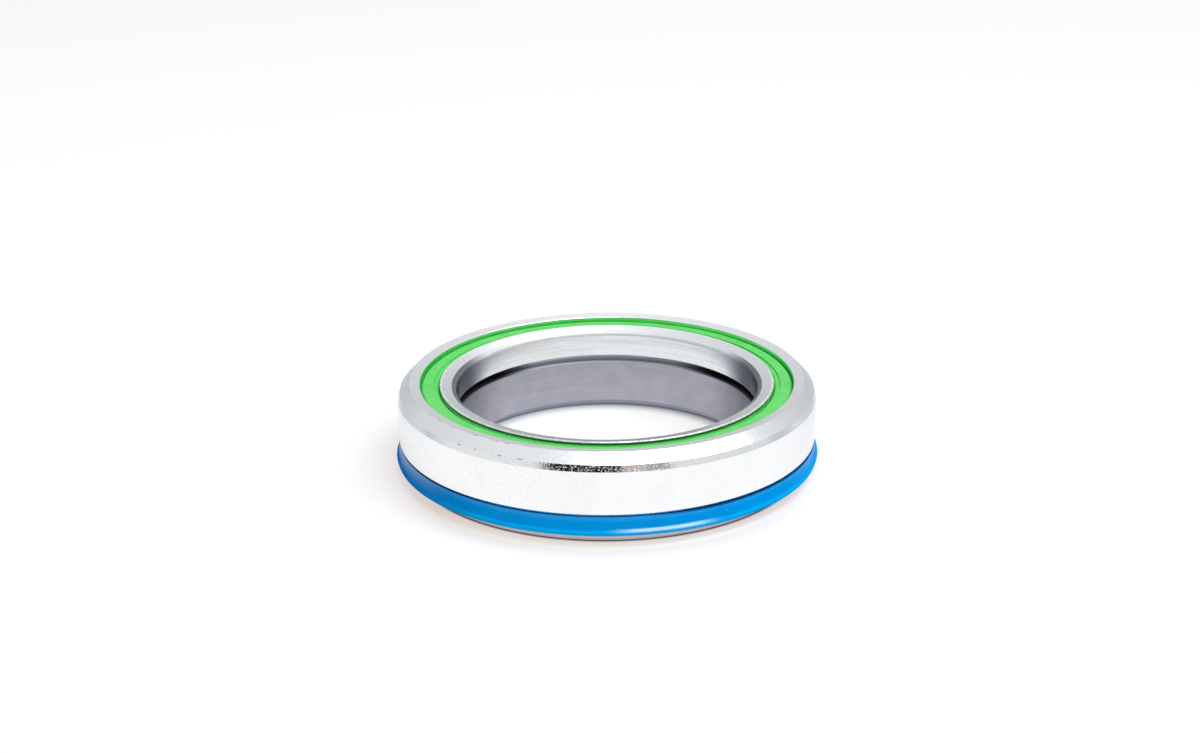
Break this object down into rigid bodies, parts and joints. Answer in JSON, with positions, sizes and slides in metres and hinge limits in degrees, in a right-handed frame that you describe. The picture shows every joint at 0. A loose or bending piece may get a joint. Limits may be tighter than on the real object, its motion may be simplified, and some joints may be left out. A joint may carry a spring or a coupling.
{
  "type": "bicycle headset lower bearing with crown race",
  "caption": "Sealed angular-contact bearing ring with green seal on a crown race with a blue wiper; lets a bicycle fork turn in the head tube.",
  "frame": {"origin": "centre of the crown race's base, on the steering axis", "axes": "+Z along the steering axis from the fork crown up into the head tube, +X to the right in the picture"},
  "size_m": [0.0424, 0.0424, 0.009],
  "materials": {
    "race_metal": "fine turned grey metal",
    "wiper_rubber": "smooth blue rubber with a soft sheen",
    "ground_steel": "ground bright steel",
    "zinc_plate": "bright zinc plate with fine speckle and small edge nicks",
    "retainer_nylon": "moulded natural nylon",
    "seal_rubber": "smooth green rubber, satin",
    "ball_steel": "polished bearing steel"
  },
  "bodies": {
    "fork_side": {"crown_race": "race_metal", "crown_race_seal": "wiper_rubber", "inner_ring": "ground_steel"},
    "head_tube_side": {"outer_ring": "zinc_plate", "upper_seal": "seal_rubber", "lower_seal": "seal_rubber"},
    "retainer": {"ball_retainer": "retainer_nylon"},
    "ball_01": {"ball_01": "ball_steel"},
    "ball_02": {"ball_02": "ball_steel"},
    "ball_03": {"ball_03": "ball_steel"},
    "ball_04": {"ball_04": "ball_steel"},
    "ball_05": {"ball_05": "ball_steel"},
    "ball_06": {"ball_06": "ball_steel"},
    "ball_07": {"ball_07": "ball_steel"},
    "ball_08": {"ball_08": "ball_steel"},
    "ball_09": {"ball_09": "ball_steel"},
    "ball_10": {"ball_10": "ball_steel"},
    "ball_11": {"ball_11": "ball_steel"},
    "ball_12": {"ball_12": "ball_steel"},
    "ball_13": {"ball_13": "ball_steel"},
    "ball_14": {"ball_14": "ball_steel"},
    "ball_15": {"ball_15": "ball_steel"},
    "ball_16": {"ball_16": "ball_steel"},
    "ball_17": {"ball_17": "ball_steel"},
    "ball_18": {"ball_18": "ball_steel"},
    "ball_19": {"ball_19": "ball_steel"},
    "ball_20": {"ball_20": "ball_steel"},
    "ball_21": {"ball_21": "ball_steel"},
    "ball_22": {"ball_22": "ball_steel"},
    "ball_23": {"ball_23": "ball_steel"},
    "ball_24": {"ball_24": "ball_steel"}
  },
  "joints": [
    {"name": "outer_ring_spin", "type": "hinge", "parent": "fork_side", "child": "head_tube_side", "pos_m": [0, 0, 0.00569], "axis": [0, 0, 1], "continuous": true},
    {"name": "retainer_spin", "type": "hinge", "parent": "fork_side", "child": "retainer", "pos_m": [0, 0, 0.00569], "axis": [0, 0, 1], "continuous": true},
    {"name": "ball_01_roll", "type": "hinge", "parent": "retainer", "child": "ball_01", "pos_m": [0.01808, 0, 0.00569], "axis": [-0.7071, 0, 0.7071], "continuous": true},
    {"name": "ball_02_roll", "type": "hinge", "parent": "retainer", "child": "ball_02", "pos_m": [0.01746, 0.00468, 0.00569], "axis": [-0.683, -0.183, 0.7071], "continuous": true},
    {"name": "ball_03_roll", "type": "hinge", "parent": "retainer", "child": "ball_03", "pos_m": [0.01565, 0.00904, 0.00569], "axis": [-0.6124, -0.3536, 0.7071], "continuous": true},
    {"name": "ball_04_roll", "type": "hinge", "parent": "retainer", "child": "ball_04", "pos_m": [0.01278, 0.01278, 0.00569], "axis": [-0.5, -0.5, 0.7071], "continuous": true},
    {"name": "ball_05_roll", "type": "hinge", "parent": "retainer", "child": "ball_05", "pos_m": [0.00904, 0.01565, 0.00569], "axis": [-0.3536, -0.6124, 0.7071], "continuous": true},
    {"name": "ball_06_roll", "type": "hinge", "parent": "retainer", "child": "ball_06", "pos_m": [0.00468, 0.01746, 0.00569], "axis": [-0.183, -0.683, 0.7071], "continuous": true},
    {"name": "ball_07_roll", "type": "hinge", "parent": "retainer", "child": "ball_07", "pos_m": [0, 0.01808, 0.00569], "axis": [0, -0.7071, 0.7071], "continuous": true},
    {"name": "ball_08_roll", "type": "hinge", "parent": "retainer", "child": "ball_08", "pos_m": [-0.00468, 0.01746, 0.00569], "axis": [0.183, -0.683, 0.7071], "continuous": true},
    {"name": "ball_09_roll", "type": "hinge", "parent": "retainer", "child": "ball_09", "pos_m": [-0.00904, 0.01565, 0.00569], "axis": [0.3536, -0.6124, 0.7071], "continuous": true},
    {"name": "ball_10_roll", "type": "hinge", "parent": "retainer", "child": "ball_10", "pos_m": [-0.01278, 0.01278, 0.00569], "axis": [0.5, -0.5, 0.7071], "continuous": true},
    {"name": "ball_11_roll", "type": "hinge", "parent": "retainer", "child": "ball_11", "pos_m": [-0.01565, 0.00904, 0.00569], "axis": [0.6124, -0.3536, 0.7071], "continuous": true},
    {"name": "ball_12_roll", "type": "hinge", "parent": "retainer", "child": "ball_12", "pos_m": [-0.01746, 0.00468, 0.00569], "axis": [0.683, -0.183, 0.7071], "continuous": true},
    {"name": "ball_13_roll", "type": "hinge", "parent": "retainer", "child": "ball_13", "pos_m": [-0.01808, 0, 0.00569], "axis": [0.7071, 0, 0.7071], "continuous": true},
    {"name": "ball_14_roll", "type": "hinge", "parent": "retainer", "child": "ball_14", "pos_m": [-0.01746, -0.00468, 0.00569], "axis": [0.683, 0.183, 0.7071], "continuous": true},
    {"name": "ball_15_roll", "type": "hinge", "parent": "retainer", "child": "ball_15", "pos_m": [-0.01565, -0.00904, 0.00569], "axis": [0.6124, 0.3536, 0.7071], "continuous": true},
    {"name": "ball_16_roll", "type": "hinge", "parent": "retainer", "child": "ball_16", "pos_m": [-0.01278, -0.01278, 0.00569], "axis": [0.5, 0.5, 0.7071], "continuous": true},
    {"name": "ball_17_roll", "type": "hinge", "parent": "retainer", "child": "ball_17", "pos_m": [-0.00904, -0.01565, 0.00569], "axis": [0.3536, 0.6124, 0.7071], "continuous": true},
    {"name": "ball_18_roll", "type": "hinge", "parent": "retainer", "child": "ball_18", "pos_m": [-0.00468, -0.01746, 0.00569], "axis": [0.183, 0.683, 0.7071], "continuous": true},
    {"name": "ball_19_roll", "type": "hinge", "parent": "retainer", "child": "ball_19", "pos_m": [0, -0.01808, 0.00569], "axis": [0, 0.7071, 0.7071], "continuous": true},
    {"name": "ball_20_roll", "type": "hinge", "parent": "retainer", "child": "ball_20", "pos_m": [0.00468, -0.01746, 0.00569], "axis": [-0.183, 0.683, 0.7071], "continuous": true},
    {"name": "ball_21_roll", "type": "hinge", "parent": "retainer", "child": "ball_21", "pos_m": [0.00904, -0.01565, 0.00569], "axis": [-0.3536, 0.6124, 0.7071], "continuous": true},
    {"name": "ball_22_roll", "type": "hinge", "parent": "retainer", "child": "ball_22", "pos_m": [0.01278, -0.01278, 0.00569], "axis": [-0.5, 0.5, 0.7071], "continuous": true},
    {"name": "ball_23_roll", "type": "hinge", "parent": "retainer", "child": "ball_23", "pos_m": [0.01565, -0.00904, 0.00569], "axis": [-0.6124, 0.3536, 0.7071], "continuous": true},
    {"name": "ball_24_roll", "type": "hinge", "parent": "retainer", "child": "ball_24", "pos_m": [0.01746, -0.00468, 0.00569], "axis": [-0.683, 0.183, 0.7071], "continuous": true}
  ],
  "couplings": [
    {"joint": "retainer_spin", "follows": "outer_ring_spin", "ratio": 0.53105},
    {"joint": "ball_01_roll", "follows": "outer_ring_spin", "ratio": 5.671},
    {"joint": "ball_02_roll", "follows": "outer_ring_spin", "ratio": 5.671},
    {"joint": "ball_03_roll", "follows": "outer_ring_spin", "ratio": 5.671},
    {"joint": "ball_04_roll", "follows": "outer_ring_spin", "ratio": 5.671},
    {"joint": "ball_05_roll", "follows": "outer_ring_spin", "ratio": 5.671},
    {"joint": "ball_06_roll", "follows": "outer_ring_spin", "ratio": 5.671},
    {"joint": "ball_07_roll", "follows": "outer_ring_spin", "ratio": 5.671},
    {"joint": "ball_08_roll", "follows": "outer_ring_spin", "ratio": 5.671},
    {"joint": "ball_09_roll", "follows": "outer_ring_spin", "ratio": 5.671},
    {"joint": "ball_10_roll", "follows": "outer_ring_spin", "ratio": 5.671},
    {"joint": "ball_11_roll", "follows": "outer_ring_spin", "ratio": 5.671},
    {"joint": "ball_12_roll", "follows": "outer_ring_spin", "ratio": 5.671},
    {"joint": "ball_13_roll", "follows": "outer_ring_spin", "ratio": 5.671},
    {"joint": "ball_14_roll", "follows": "outer_ring_spin", "ratio": 5.671},
    {"joint": "ball_15_roll", "follows": "outer_ring_spin", "ratio": 5.671},
    {"joint": "ball_16_roll", "follows": "outer_ring_spin", "ratio": 5.671},
    {"joint": "ball_17_roll", "follows": "outer_ring_spin", "ratio": 5.671},
    {"joint": "ball_18_roll", "follows": "outer_ring_spin", "ratio": 5.671},
    {"joint": "ball_19_roll", "follows": "outer_ring_spin", "ratio": 5.671},
    {"joint": "ball_20_roll", "follows": "outer_ring_spin", "ratio": 5.671},
    {"joint": "ball_21_roll", "follows": "outer_ring_spin", "ratio": 5.671},
    {"joint": "ball_22_roll", "follows": "outer_ring_spin", "ratio": 5.671},
    {"joint": "ball_23_roll", "follows": "outer_ring_spin", "ratio": 5.671},
    {"joint": "ball_24_roll", "follows": "outer_ring_spin", "ratio": 5.671}
  ]
}
